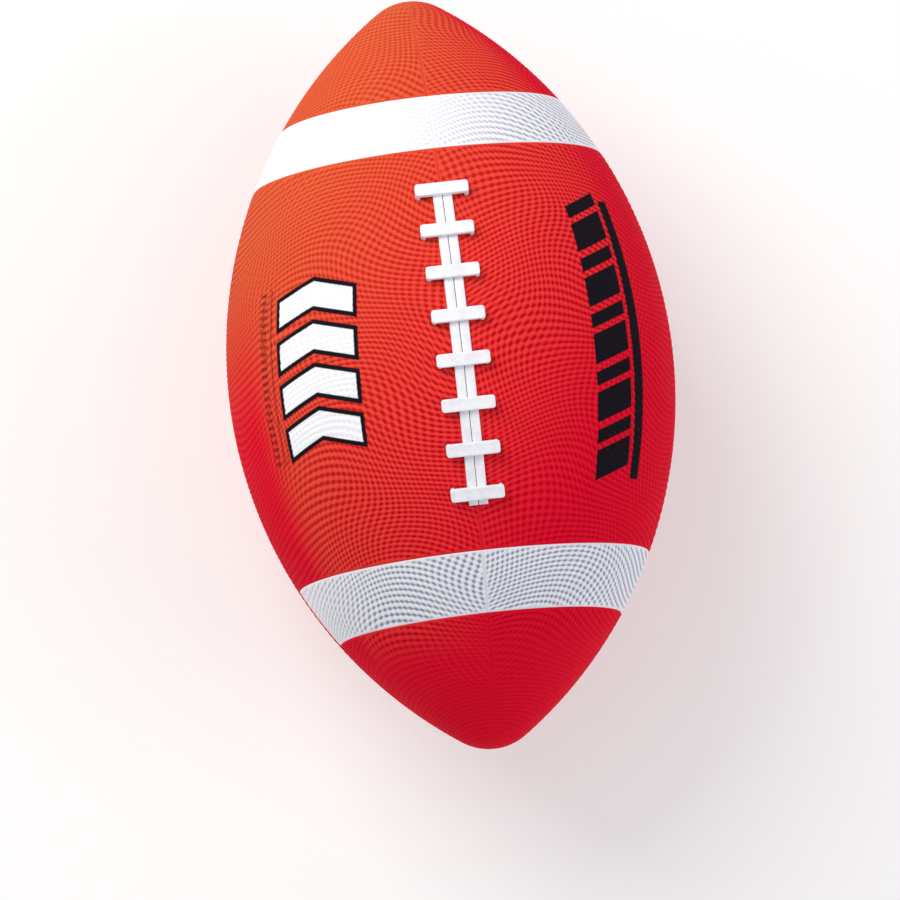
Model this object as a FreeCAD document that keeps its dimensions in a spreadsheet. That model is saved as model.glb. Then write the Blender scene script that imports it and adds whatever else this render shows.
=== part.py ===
import FreeCAD, Part
import Sketcher
import math
import os

# An inflated American football of moulded rubber, laces up, its long axis along X.
# Origin: the middle of the ball. +X: the tip at the head of the lacing. +Z: through the lacing.
# Its outline is one long arc over the belly that runs tangent into a small arc at each tip.
# Layers, from the outside: four cover panels, carcass, winding, bladder. Sizes are in millimetres.

DRIVING_SIZES = [
    ("belly_radius", 84.0, "half the short diameter"),
    ("half_length", 143.0, "middle of the ball to a tip"),
    ("tip_radius", 21.0, "rounding of each tip"),
    ("cover_thickness", 1.8, "rubber cover panels"),
    ("carcass_thickness", 0.6, "rubbered cloth under the cover"),
    ("winding_thickness", 0.6, "nylon thread wound round the bladder"),
    ("bladder_thickness", 0.8, "butyl bladder"),
    ("seam_width", 0.8, "groove between two panels, at the belly"),
    ("seam_depth", 0.6, "groove between two panels"),
    ("stripe_width", 21.9, "white stripe, measured along the long axis"),
    ("stripe_depth", 0.6, "thickness of the white rubber laid into the cover"),
    ("stripe_gap", 14.0, "end of the lace bed to the near edge of a stripe"),
    ("bar_count", 8, "cross bars of the lacing"),
    ("lace_pitch", 16.55, "from one cross bar to the next, along the seam"),
    ("lace_shift", 1.5, "middle of the lacing ahead of the middle of the ball"),
    ("bar_length", 20.0, "cross bar, across the seam"),
    ("bar_width", 5.0, "cross bar, along the seam"),
    ("bar_thickness", 1.9, "cross bar, above the lengthwise runs"),
    ("bar_bevel", 0.6, "bevel round the top of a cross bar"),
    ("leg_thickness", 1.8, "turned-down end of a cross bar"),
    ("slot_clearance", 0.15, "lace slot round a leg, each side"),
    ("run_width", 3.5, "each of the two lengthwise runs"),
    ("run_thickness", 1.5, "each of the two lengthwise runs"),
    ("run_gap", 0.2, "between the two lengthwise runs"),
    ("run_head", 2.0, "runs past the middle of the first cross bar"),
    ("run_foot", 4.2, "runs past the middle of the last cross bar"),
    ("bed_depth", 0.4, "smooth lace bed below the cover's surface"),
    ("bed_side_margin", 0.9, "lace bed beyond the ends of the cross bars"),
    ("bed_end_margin", 1.2, "lace bed beyond the first and last cross bar"),
    ("backing_thickness", 0.5, "cloth strip behind the lace slots"),
    ("backing_margin", 4.0, "cloth strip beyond the lacing, all round"),
    ("valve_angle", 135.0, "degrees round the long axis from the laces to the valve"),
    ("boot_radius", 14.0, "disc of the valve boot, inside the bladder"),
    ("boot_thickness", 1.2, "disc of the valve boot"),
    ("neck_radius", 4.0, "neck of the valve boot"),
    ("neck_length", 15.0, "neck of the valve boot, from the ball's surface inwards"),
    ("neck_recess", 0.4, "top of the neck below the ball's surface"),
    ("neck_clearance", 0.15, "valve opening in the cover round the neck"),
    ("core_radius", 2.4, "valve core in the neck"),
    ("core_recess", 0.5, "top of the core below the top of the neck"),
    ("core_head", 1.0, "thickness of the core's inner head"),
    ("core_head_overhang", 0.8, "inner head of the core beyond the neck's bore"),
    ("needle_radius", 1.1, "needle port in the core"),
    ("needle_depth", 8.0, "needle port in the core, blind"),
]

WORKED_OUT_SIZES = [
    (
        "main_radius",
        "=((half_length - tip_radius)^2 + belly_radius^2 - tip_radius^2)"
        " / (2 * (belly_radius - tip_radius))",
        "radius of the long arc",
    ),
    ("main_drop", "=main_radius - belly_radius", "its centre below the long axis"),
    ("tip_centre", "=half_length - tip_radius", "middle of the ball to a tip arc's centre"),
    ("seam_turn", "=seam_width / belly_radius * 180 / pi", "degrees that a seam groove takes"),
    ("bar_step", "=lace_pitch / main_radius * 180 / pi", "degrees between cross bars"),
    ("lacing_turn", "=bar_step * (bar_count - 1)", "degrees from first to last cross bar"),
    (
        "first_bar",
        "=lace_shift / main_radius * 180 / pi + lacing_turn / 2",
        "degrees from the middle to the first cross bar",
    ),
    ("lacing_head", "=main_radius * sin(first_bar)", "first cross bar along X"),
    ("lacing_foot", "=main_radius * sin(lacing_turn - first_bar)", "last cross bar along -X"),
    ("bed_head", "=lacing_head + bar_width / 2 + bed_end_margin", "lace bed's end along X"),
    ("bed_foot", "=lacing_foot + run_foot + bed_end_margin", "lace bed's end along -X"),
    (
        "bed_turn",
        "=(bar_length / 2 + bed_side_margin) / belly_radius * 180 / pi",
        "degrees of lace bed on each side of the seam",
    ),
    ("stripe_near", "=max(bed_head; bed_foot) + stripe_gap", "near edge of a stripe along X"),
    ("stripe_far", "=stripe_near + stripe_width", "far edge of a stripe along X"),
    ("run_turn", "=run_width / belly_radius * 180 / pi", "degrees that a lengthwise run takes"),
    ("run_start", "=run_gap / 2 / belly_radius * 180 / pi", "degrees from the seam to a run"),
    ("bar_under", "=main_radius - bed_depth + run_thickness", "underside of a cross bar"),
    ("bar_top", "=bar_under + bar_thickness", "top of a cross bar"),
    ("leg_inner", "=bar_length / 2 - leg_thickness", "seam to the inner side of a leg"),
    (
        "leg_foot",
        "=main_radius - cover_thickness + backing_thickness"
        " - belly_radius + sqrt(belly_radius^2 - leg_inner^2)",
        "end of a leg, on the backing strip",
    ),
    (
        "backing_turn",
        "=(bar_length + 2 * backing_margin) / belly_radius * 180 / pi",
        "degrees that the backing strip takes",
    ),
    ("carcass_depth", "=cover_thickness", "outside of the carcass below the surface"),
    ("winding_depth", "=carcass_depth + carcass_thickness", "outside of the winding"),
    ("bladder_depth", "=winding_depth + winding_thickness", "outside of the bladder"),
    ("air_depth", "=bladder_depth + bladder_thickness", "inside of the bladder"),
]

# How far a cutting profile stands clear of the material that it cuts, the least that a cut
# removes, in cubic millimetres, and how near two heights are to count as the same.
CUT_CLEAR = 2.0
LEAST_CUT = 1.0
SAME_HEIGHT = 1e-6
CUTS = ("PartDesign::Groove", "PartDesign::Pocket")

X_AXIS = FreeCAD.Vector(1, 0, 0)
Z_AXIS = FreeCAD.Vector(0, 0, 1)
ORIGIN = FreeCAD.Vector(0, 0, 0)

# Sketch geometry numbers of the two sketch axes, and the points of a line or arc.
SKETCH_X = -1
SKETCH_Y = -2
START = 1
END = 2
CENTRE = 3
SKETCH_ORIGIN = (SKETCH_X, START)

doc = FreeCAD.newDocument("Football")
sizes = doc.addObject("Spreadsheet::Sheet", "Sizes")


def fill_sheet():
    rows = [(alias, str(value), note) for alias, value, note in DRIVING_SIZES]
    rows += WORKED_OUT_SIZES
    for number, (alias, content, note) in enumerate(rows, start=1):
        sizes.set(f"A{number}", alias)
        sizes.set(f"B{number}", content)
        sizes.setAlias(f"B{number}", alias)
        sizes.set(f"C{number}", note)
    doc.recompute()


def size(alias):
    return float(sizes.get(alias))


def value_of(expression):
    """The number that an expression gives for the sheet's present sizes."""
    return float(sizes.evalExpression(expression.replace("Sizes.", "")))


# ---------------------------------------------------------------- sketches


def new_sketch(body, name, role):
    """A sketch on one of the body's own origin planes."""
    plane = next(f for f in body.Origin.OriginFeatures if f.Role == role)
    sketch = body.newObject("Sketcher::SketchObject", f"{body.Name}_{name}")
    sketch.AttachmentSupport = [(plane, "")]
    sketch.MapMode = "FlatFace"
    return sketch


def constrain(sketch, kind, *where, to=None):
    """Adds a constraint; one with a size takes it from the sheet through an expression."""
    if to is None:
        sketch.addConstraint(Sketcher.Constraint(kind, *where))
        return
    index = sketch.addConstraint(Sketcher.Constraint(kind, *where, value_of(to)))
    sketch.setExpression(f"Constraints[{index}]", to)


def join(sketch, first, first_end, second, second_end):
    constrain(sketch, "Coincident", first, first_end, second, second_end)


def outline_arcs(sketch, depth):
    """Tip arc, long arc, tip arc: the ball's outline at a depth below its surface, head to foot."""
    below = value_of(depth)
    reach = size("tip_centre")
    turn = math.atan2(size("main_drop"), reach)
    head = Part.Circle(FreeCAD.Vector(reach, 0, 0), Z_AXIS, size("tip_radius") - below)
    long = Part.Circle(FreeCAD.Vector(0, -size("main_drop"), 0), Z_AXIS, size("main_radius") - below)
    foot = Part.Circle(FreeCAD.Vector(-reach, 0, 0), Z_AXIS, size("tip_radius") - below)
    tip_head = sketch.addGeometry(Part.ArcOfCircle(head, 0, turn))
    belly = sketch.addGeometry(Part.ArcOfCircle(long, turn, math.pi - turn))
    tip_foot = sketch.addGeometry(Part.ArcOfCircle(foot, math.pi - turn, math.pi))
    crown = sketch.addGeometry(Part.Point(FreeCAD.Vector(0, size("belly_radius") - below, 0)), True)
    constrain(sketch, "Tangent", tip_head, END, belly, START)
    constrain(sketch, "Tangent", belly, END, tip_foot, START)
    constrain(sketch, "PointOnObject", tip_head, CENTRE, SKETCH_X)
    constrain(sketch, "PointOnObject", tip_foot, CENTRE, SKETCH_X)
    constrain(sketch, "DistanceX", *SKETCH_ORIGIN, tip_head, CENTRE, to="Sizes.tip_centre")
    constrain(sketch, "DistanceX", tip_foot, CENTRE, *SKETCH_ORIGIN, to="Sizes.tip_centre")
    constrain(sketch, "Radius", tip_head, to=f"Sizes.tip_radius - ({depth})")
    constrain(sketch, "Equal", tip_head, tip_foot)
    constrain(sketch, "PointOnObject", tip_head, START, SKETCH_X)
    constrain(sketch, "PointOnObject", tip_foot, END, SKETCH_X)
    constrain(sketch, "PointOnObject", crown, START, SKETCH_Y)
    constrain(sketch, "PointOnObject", crown, START, belly)
    constrain(sketch, "DistanceY", *SKETCH_ORIGIN, crown, START, to=f"Sizes.belly_radius - ({depth})")
    return tip_head, tip_foot


def layer_sketch(body, outer, inner):
    """Half section of a whole layer, tip to tip, between two depths below the ball's surface."""
    sketch = new_sketch(body, "layer", "XZ_Plane")
    outer_head, outer_foot = outline_arcs(sketch, outer)
    inner_head, inner_foot = outline_arcs(sketch, inner)
    tip = size("half_length")
    out, inn = value_of(outer), value_of(inner)
    head = sketch.addGeometry(
        Part.LineSegment(FreeCAD.Vector(tip - out, 0, 0), FreeCAD.Vector(tip - inn, 0, 0))
    )
    foot = sketch.addGeometry(
        Part.LineSegment(FreeCAD.Vector(out - tip, 0, 0), FreeCAD.Vector(inn - tip, 0, 0))
    )
    join(sketch, head, START, outer_head, START)
    join(sketch, head, END, inner_head, START)
    join(sketch, foot, START, outer_foot, END)
    join(sketch, foot, END, inner_foot, END)
    return sketch


def band_sketch(body, name, outer, inner, foot, head, role="XZ_Plane"):
    """Section between two depths and two places along X, on the long arc. foot is measured along -X."""
    sketch = new_sketch(body, name, role)
    add_band(sketch, outer, inner, foot, head)
    return sketch


def add_band(sketch, outer, inner, foot, head):
    drop = size("main_drop")
    near, far = -value_of(foot), value_of(head)
    arcs = []
    for depth in (outer, inner):
        radius = size("main_radius") - value_of(depth)
        circle = Part.Circle(FreeCAD.Vector(0, -drop, 0), Z_AXIS, radius)
        arc = Part.ArcOfCircle(circle, math.acos(far / radius), math.acos(near / radius))
        arcs.append(sketch.addGeometry(arc))
        constrain(sketch, "Radius", arcs[-1], to=f"Sizes.main_radius - ({depth})")
    top, bottom = arcs
    constrain(sketch, "PointOnObject", top, CENTRE, SKETCH_Y)
    constrain(sketch, "DistanceY", top, CENTRE, *SKETCH_ORIGIN, to="Sizes.main_drop")
    join(sketch, top, CENTRE, bottom, CENTRE)
    for place, end in ((far, START), (near, END)):
        line = sketch.addGeometry(
            Part.LineSegment(FreeCAD.Vector(place, drop, 0), FreeCAD.Vector(place, drop - 1, 0))
        )
        join(sketch, line, START, top, end)
        join(sketch, line, END, bottom, end)
        constrain(sketch, "Vertical", line)
        distance = head if end == START else f"-({foot})"
        constrain(sketch, "DistanceX", *SKETCH_ORIGIN, line, START, to=distance)


def rectangle(sketch, half_width, low, high):
    """A rectangle that is centred on the sketch's vertical axis, between two heights."""
    wide, bottom, top = value_of(half_width), value_of(low), value_of(high)
    corners = [(-wide, bottom), (wide, bottom), (wide, top), (-wide, top)]
    lines = []
    for start, end in zip(corners, corners[1:] + corners[:1]):
        lines.append(
            sketch.addGeometry(Part.LineSegment(FreeCAD.Vector(*start, 0), FreeCAD.Vector(*end, 0)))
        )
    for line, following in zip(lines, lines[1:] + lines[:1]):
        join(sketch, line, END, following, START)
    constrain(sketch, "Horizontal", lines[2])
    constrain(sketch, "Vertical", lines[1])
    constrain(sketch, "Symmetric", lines[0], START, lines[0], END, SKETCH_Y)
    constrain(sketch, "DistanceX", *SKETCH_ORIGIN, lines[1], START, to=half_width)
    constrain(sketch, "DistanceY", *SKETCH_ORIGIN, lines[1], START, to=low)
    constrain(sketch, "DistanceY", *SKETCH_ORIGIN, lines[1], END, to=high)
    constrain(sketch, "Vertical", lines[3])


def circle(sketch, radius):
    """A circle round the sketch's origin."""
    index = sketch.addGeometry(Part.Circle(ORIGIN, Z_AXIS, value_of(radius)))
    join(sketch, index, CENTRE, *SKETCH_ORIGIN)
    constrain(sketch, "Radius", index, to=radius)


# ---------------------------------------------------------------- features


def new_body(label):
    body = doc.addObject("PartDesign::Body", label)
    body.Label = label
    return body


def turn_feature(body, kind, sketch, angle, reversed_turn=False, midplane=False):
    """A Revolution or Groove of a sketch about the ball's long axis."""
    feature = body.newObject(f"PartDesign::{kind}", f"{sketch.Name}_{kind}")
    feature.Profile = sketch
    feature.ReferenceAxis = (sketch, ["H_Axis"])
    feature.Reversed = reversed_turn
    feature.Midplane = midplane
    feature.setExpression("Angle", angle)
    return finished(feature)


def cut_through(body, sketch, reversed_cut=False):
    """A Pocket from the sketch's plane to the end of the body, on one side of the plane."""
    feature = body.newObject("PartDesign::Pocket", f"{sketch.Name}_cut")
    feature.Profile = sketch
    feature.Type = "ThroughAll"
    feature.Reversed = reversed_cut
    return finished(feature)


def pad(body, sketch, length, midplane=False):
    feature = body.newObject("PartDesign::Pad", f"{sketch.Name}_pad")
    feature.Profile = sketch
    feature.Midplane = midplane
    feature.setExpression("Length", length)
    return finished(feature)


def finished(feature):
    """Recomputes, and stops if a cut has taken nothing away."""
    before = feature.BaseFeature.Shape.Volume if feature.BaseFeature else 0
    doc.recompute()
    if feature.TypeId in CUTS and feature.Shape.Volume > before - LEAST_CUT:
        raise RuntimeError(f"{feature.Name} cuts nothing")
    return feature


def turn_about_ball(body, angle):
    """Places a body by turning it about the ball's long axis."""
    body.Placement = FreeCAD.Placement(ORIGIN, FreeCAD.Rotation(X_AXIS, value_of(angle)))
    body.setExpression(
        "Placement", f"create(<<placement>>; vector(0; 0; 0); rotation(vector(1; 0; 0); {angle}))"
    )


# ---------------------------------------------------------------- inner layers and valve


def layer_round_valve(label, outer, inner):
    """A closed layer of the ball with a round opening for the neck of the valve."""
    body = new_body(label)
    turn_feature(body, "Revolution", layer_sketch(body, outer, inner), "360")
    opening = new_sketch(body, "opening", "XY_Plane")
    circle(opening, "Sizes.neck_radius")
    cut_through(body, opening, reversed_cut=True)
    turn_about_ball(body, "Sizes.valve_angle")
    return body


def valve_boot():
    """A disc that follows the inside of the bladder, with the neck moulded on it."""
    body = new_body("valve_boot")
    reach = f"Sizes.boot_radius + {CUT_CLEAR}"
    disc = band_sketch(
        body, "disc", "Sizes.air_depth", "Sizes.air_depth + Sizes.boot_thickness", reach, reach
    )
    sweep = f"2 * asin(({reach}) / (Sizes.belly_radius - Sizes.air_depth - Sizes.boot_thickness))"
    turn_feature(body, "Revolution", disc, sweep, midplane=True)
    rim = new_sketch(body, "rim", "XY_Plane")
    circle(rim, "Sizes.boot_radius")
    circle(rim, f"2 * (Sizes.boot_radius + {CUT_CLEAR})")
    cut_through(body, rim, reversed_cut=True)
    neck = new_sketch(body, "neck", "XY_Plane")
    neck.setExpression("AttachmentOffset.Base.z", "Sizes.belly_radius - Sizes.neck_length")
    circle(neck, "Sizes.neck_radius")
    pad(body, neck, "Sizes.neck_length - Sizes.neck_recess")
    bore = new_sketch(body, "bore", "XY_Plane")
    circle(bore, "Sizes.core_radius")
    cut_through(body, bore, reversed_cut=True)
    turn_about_ball(body, "Sizes.valve_angle")
    return body


def valve_core():
    """The plug in the neck: a head under the neck's inner end and a blind port for the needle."""
    body = new_body("valve_core")
    neck_end = "(Sizes.belly_radius - Sizes.neck_length)"
    core_top = "(Sizes.belly_radius - Sizes.neck_recess - Sizes.core_recess)"
    head = new_sketch(body, "head", "XY_Plane")
    head.setExpression("AttachmentOffset.Base.z", f"{neck_end} - Sizes.core_head")
    circle(head, "Sizes.core_radius + Sizes.core_head_overhang")
    pad(body, head, "Sizes.core_head")
    plug = new_sketch(body, "plug", "XY_Plane")
    plug.setExpression("AttachmentOffset.Base.z", neck_end)
    circle(plug, "Sizes.core_radius")
    pad(body, plug, f"{core_top} - {neck_end}")
    port = new_sketch(body, "port", "XY_Plane")
    port.setExpression("AttachmentOffset.Base.z", f"{core_top} - Sizes.needle_depth")
    circle(port, "Sizes.needle_radius")
    cut_through(body, port, reversed_cut=True)
    turn_about_ball(body, "Sizes.valve_angle")
    return body


# ---------------------------------------------------------------- cover


def quarter_panel(label, towards_left, turned):
    """A quarter of the cover with a groove along both seams, built beside the lace seam and turned."""
    body = new_body(label)
    layer = layer_sketch(body, "0", "Sizes.cover_thickness")
    turn_feature(body, "Revolution", layer, "90", reversed_turn=towards_left)
    for name, role in (("upright_seam", "XZ_Plane"), ("side_seam", "XY_Plane")):
        seam = band_sketch(
            body, name, f"-{CUT_CLEAR}", "Sizes.seam_depth", "Sizes.tip_centre", "Sizes.tip_centre", role
        )
        if name == "side_seam" and not towards_left:
            seam.AttachmentOffset = FreeCAD.Placement(ORIGIN, FreeCAD.Rotation(X_AXIS, 180))
        turn_feature(body, "Groove", seam, "Sizes.seam_turn", midplane=True)
    turn_about_ball(body, turned)
    return body


def cut_stripe_channels(body):
    """Two shallow channels, right across an upper panel, that take the white rubber."""
    channels = new_sketch(body, "channels", "XZ_Plane")
    above = f"-{CUT_CLEAR}"
    add_band(channels, above, "Sizes.stripe_depth", "-Sizes.stripe_near", "Sizes.stripe_far")
    add_band(channels, above, "Sizes.stripe_depth", "Sizes.stripe_far", "-Sizes.stripe_near")
    turn_feature(body, "Groove", channels, "360")


def cut_lace_bed(body, towards_left):
    """The smooth sunken bed beside the lace seam, and the recess behind it for the backing strip."""
    bed = band_sketch(
        body, "bed", f"-{CUT_CLEAR}", "Sizes.bed_depth", "Sizes.bed_foot", "Sizes.bed_head"
    )
    turn_feature(body, "Groove", bed, "Sizes.bed_turn", reversed_turn=towards_left)
    recess = band_sketch(
        body,
        "recess",
        "Sizes.cover_thickness - Sizes.backing_thickness",
        f"Sizes.cover_thickness + {CUT_CLEAR}",
        "Sizes.bed_foot + Sizes.backing_margin",
        "Sizes.bed_head + Sizes.backing_margin",
    )
    turn_feature(body, "Groove", recess, "Sizes.backing_turn", midplane=True)


def cut_lace_slots(body, towards_left):
    """One slot for each cross bar's leg, stepped round the centre of the long arc."""
    slot = new_sketch(body, "slot", "XZ_Plane")
    turned = FreeCAD.Rotation(Z_AXIS, -size("first_bar"))
    slot.AttachmentOffset = FreeCAD.Placement(FreeCAD.Vector(0, -size("main_drop"), 0), turned)
    inner_side = "(Sizes.leg_inner - Sizes.slot_clearance)"
    slot.setExpression(
        "AttachmentOffset",
        "create(<<placement>>;"
        f" vector(0; -Sizes.main_drop; {'-' if towards_left else ''}{inner_side});"
        " rotation(vector(0; 0; 1); -Sizes.first_bar))",
    )
    rectangle(
        slot,
        "Sizes.bar_width / 2 + Sizes.slot_clearance",
        f"Sizes.main_radius - Sizes.cover_thickness - {CUT_CLEAR}",
        f"Sizes.main_radius + {CUT_CLEAR}",
    )
    cut = body.newObject("PartDesign::Pocket", f"{slot.Name}_cut")
    cut.Profile = slot
    cut.Reversed = not towards_left
    cut.setExpression("Length", "Sizes.leg_thickness + 2 * Sizes.slot_clearance")
    doc.recompute()
    slots = body.newObject("PartDesign::PolarPattern", f"{body.Name}_slots")
    slots.Originals = [cut]
    slots.Axis = (slot, ["N_Axis"])
    slots.setExpression("Angle", "Sizes.lacing_turn")
    slots.setExpression("Occurrences", "Sizes.bar_count")
    body.Tip = slots
    doc.recompute()


def cut_valve_opening(body):
    """The opening for the valve's neck, in a panel that is turned half round from the laces."""
    opening = new_sketch(body, "opening", "XY_Plane")
    opening.setExpression(
        "AttachmentOffset",
        "create(<<placement>>; vector(0; 0; 0); rotation(vector(1; 0; 0); Sizes.valve_angle - 180))",
    )
    circle(opening, "Sizes.neck_radius + Sizes.neck_clearance")
    cut_through(body, opening, reversed_cut=True)


def stripe_inlay(label, towards_left, at_head):
    """White rubber laid into one channel of an upper panel, from one seam groove to the other."""
    body = new_body(label)
    foot, head = ("-Sizes.stripe_near", "Sizes.stripe_far")
    if not at_head:
        foot, head = ("Sizes.stripe_far", "-Sizes.stripe_near")
    strip = band_sketch(body, "strip", "0", "Sizes.stripe_depth", foot, head)
    turn_feature(body, "Revolution", strip, "90 - Sizes.seam_turn", reversed_turn=towards_left)
    turn_about_ball(body, f"{'-' if towards_left else ''}Sizes.seam_turn / 2")
    return body


# ---------------------------------------------------------------- lacing


def backing_strip():
    """The cloth strip behind the lace seam, in the recess of the two upper panels."""
    body = new_body("lace_backing_strip")
    strip = band_sketch(
        body,
        "strip",
        "Sizes.cover_thickness - Sizes.backing_thickness",
        "Sizes.cover_thickness",
        "Sizes.bed_foot + Sizes.backing_margin",
        "Sizes.bed_head + Sizes.backing_margin",
    )
    turn_feature(body, "Revolution", strip, "Sizes.backing_turn", midplane=True)
    return body


def lace_run(label, towards_left):
    """A lengthwise run of the lace, lying on the bed beside the seam."""
    body = new_body(label)
    run = band_sketch(
        body,
        "run",
        "Sizes.bed_depth - Sizes.run_thickness",
        "Sizes.bed_depth",
        "Sizes.lacing_foot + Sizes.run_foot",
        "Sizes.lacing_head + Sizes.run_head",
    )
    turn_feature(body, "Revolution", run, "Sizes.run_turn", reversed_turn=towards_left)
    turn_about_ball(body, f"{'-' if towards_left else ''}Sizes.run_start")
    return body


def staple_outline(sketch):
    """A flat bar with a leg turned down at each end, symmetric about the seam."""
    half, inner = size("bar_length") / 2, size("leg_inner")
    foot, under, top = size("leg_foot"), size("bar_under"), size("bar_top")
    right_side = [(half, top), (half, foot), (inner, foot), (inner, under)]
    left_side = [(-x, y) for x, y in reversed(right_side)]
    corners = right_side + left_side
    lines = []
    for start, end in zip(corners, corners[1:] + corners[:1]):
        lines.append(
            sketch.addGeometry(Part.LineSegment(FreeCAD.Vector(*start, 0), FreeCAD.Vector(*end, 0)))
        )
    for line, following in zip(lines, lines[1:] + lines[:1]):
        join(sketch, line, END, following, START)
    outer_leg, leg_end, inner_leg, underside = lines[:4]
    constrain(sketch, "Horizontal", leg_end)
    for line in (outer_leg, inner_leg):
        constrain(sketch, "Vertical", line)
    for line, mirrored in ((0, 6), (1, 5), (2, 4)):
        constrain(sketch, "Symmetric", lines[line], START, lines[mirrored], END, SKETCH_Y)
    constrain(sketch, "Symmetric", underside, START, underside, END, SKETCH_Y)
    constrain(sketch, "DistanceX", *SKETCH_ORIGIN, outer_leg, START, to="Sizes.bar_length / 2")
    constrain(sketch, "DistanceX", *SKETCH_ORIGIN, inner_leg, START, to="Sizes.leg_inner")
    constrain(sketch, "DistanceY", *SKETCH_ORIGIN, outer_leg, START, to="Sizes.bar_top")
    constrain(sketch, "DistanceY", *SKETCH_ORIGIN, outer_leg, END, to="Sizes.leg_foot")
    constrain(sketch, "DistanceY", *SKETCH_ORIGIN, underside, START, to="Sizes.bar_under")


def cross_bar(number):
    """One cross bar of the lacing, number 1 at the head, placed round the centre of the long arc."""
    body = new_body(f"lace_cross_bar_{number}")
    outline = new_sketch(body, "outline", "YZ_Plane")
    staple_outline(outline)
    bar = pad(body, outline, "Sizes.bar_width", midplane=True)
    top = size("bar_top")
    names = [
        f"Edge{index}"
        for index, edge in enumerate(bar.Shape.Edges, start=1)
        if all(abs(vertex.Z - top) < SAME_HEIGHT for vertex in edge.Vertexes)
    ]
    bevel = body.newObject("PartDesign::Chamfer", f"{body.Name}_bevel")
    bevel.Base = (bar, names)
    bevel.setExpression("Size", "Sizes.bar_bevel")
    doc.recompute()
    body.setExpression(
        "Placement",
        "create(<<placement>>; vector(0; 0; -Sizes.main_drop);"
        f" rotation(vector(0; 1; 0); Sizes.first_bar - {number - 1} * Sizes.bar_step))",
    )
    return body


# ---------------------------------------------------------------- the ball


def build():
    pieces = [
        layer_round_valve("bladder", "Sizes.bladder_depth", "Sizes.air_depth"),
        layer_round_valve("winding", "Sizes.winding_depth", "Sizes.bladder_depth"),
        layer_round_valve("carcass", "Sizes.carcass_depth", "Sizes.winding_depth"),
        valve_boot(),
        valve_core(),
        backing_strip(),
    ]
    for side, towards_left in (("left", True), ("right", False)):
        upper = quarter_panel(f"panel_upper_{side}", towards_left, "0")
        cut_stripe_channels(upper)
        cut_lace_bed(upper, towards_left)
        cut_lace_slots(upper, towards_left)
        lower = quarter_panel(f"panel_lower_{side}", not towards_left, "180")
        if side == "right":
            cut_valve_opening(lower)
        pieces += [upper, lower, lace_run(f"lace_run_{side}", towards_left)]
        for end, at_head in (("head", True), ("foot", False)):
            pieces.append(stripe_inlay(f"stripe_{end}_{side}", towards_left, at_head))
    pieces += [cross_bar(number) for number in range(1, int(size("bar_count")) + 1)]
    return pieces


def check(pieces):
    """Stops before anything is written if a feature failed or a piece isn't one sound solid."""
    doc.recompute()
    for thing in doc.Objects:
        if "Invalid" in thing.State or "Error" in thing.State:
            raise RuntimeError(f"{thing.Name} failed: {thing.State}")
    for piece in pieces:
        shape = piece.Shape
        if shape.isNull() or not shape.isValid() or len(shape.Solids) != 1:
            raise RuntimeError(f"{piece.Label} is not one sound solid")


def export(pieces):
    os.makedirs("parts", exist_ok=True)
    for piece in pieces:
        piece.Shape.exportStep(f"parts/{piece.Label}.step")
        print(f"{piece.Label}: {piece.Shape.Volume / 1000:.3f} cm3")


fill_sheet()
all_pieces = build()
check(all_pieces)
export(all_pieces)
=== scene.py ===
# %% [markdown]
# An inflated American football of moulded rubber, laces up.
# Four cover panels meet in four seams that run from tip to tip. The two upper panels carry two
# white stripes each, and the lacing closes the seam between them. Under the cover lie a cloth
# carcass, a nylon winding, a bladder and the valve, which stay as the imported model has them.

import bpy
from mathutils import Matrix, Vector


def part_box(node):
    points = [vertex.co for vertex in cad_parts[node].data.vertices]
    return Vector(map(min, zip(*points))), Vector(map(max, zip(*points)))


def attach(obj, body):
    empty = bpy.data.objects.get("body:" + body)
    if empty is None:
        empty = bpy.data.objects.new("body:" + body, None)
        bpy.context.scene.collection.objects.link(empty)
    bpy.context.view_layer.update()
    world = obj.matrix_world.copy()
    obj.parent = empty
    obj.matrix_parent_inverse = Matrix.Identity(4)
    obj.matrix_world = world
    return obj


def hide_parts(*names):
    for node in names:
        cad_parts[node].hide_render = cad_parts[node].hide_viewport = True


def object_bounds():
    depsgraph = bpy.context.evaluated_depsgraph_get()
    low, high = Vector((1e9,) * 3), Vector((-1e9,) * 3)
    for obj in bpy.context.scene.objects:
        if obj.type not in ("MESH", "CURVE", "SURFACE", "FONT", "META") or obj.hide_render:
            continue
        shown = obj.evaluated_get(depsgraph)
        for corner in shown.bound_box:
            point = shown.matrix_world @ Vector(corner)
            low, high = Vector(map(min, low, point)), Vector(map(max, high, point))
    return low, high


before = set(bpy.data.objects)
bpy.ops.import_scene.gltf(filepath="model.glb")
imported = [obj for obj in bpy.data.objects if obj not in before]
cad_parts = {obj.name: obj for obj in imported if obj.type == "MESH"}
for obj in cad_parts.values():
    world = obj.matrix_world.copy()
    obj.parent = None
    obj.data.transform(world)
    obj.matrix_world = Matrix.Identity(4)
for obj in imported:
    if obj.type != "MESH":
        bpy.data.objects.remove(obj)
cad_low, cad_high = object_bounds()
print("CAD box", [round(value, 4) for value in (*cad_low, *cad_high)])

# %% [markdown]
# The long axis of the ball is X, and Z points up through the lacing. A football's outline is one
# long arc over the belly that runs smoothly into a small arc at each tip, so two measured
# numbers, the half length and the belly radius, and one chosen tip radius fix the whole shape.

# %% The outline of the ball
import math
import bpy
import numpy as np
from mathutils import Vector

MM = 0.001
HALF_LENGTH = cad_high.x
BELLY = -cad_low.z
TIP = 21 * MM
TIP_CENTRE = HALF_LENGTH - TIP
LONG = (TIP_CENTRE**2 + BELLY**2 - TIP**2) / (2 * (BELLY - TIP))
DROP = LONG - BELLY
TIP_TURN = math.atan2(TIP_CENTRE, DROP)
TIP_START = LONG * math.sin(TIP_TURN)


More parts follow.
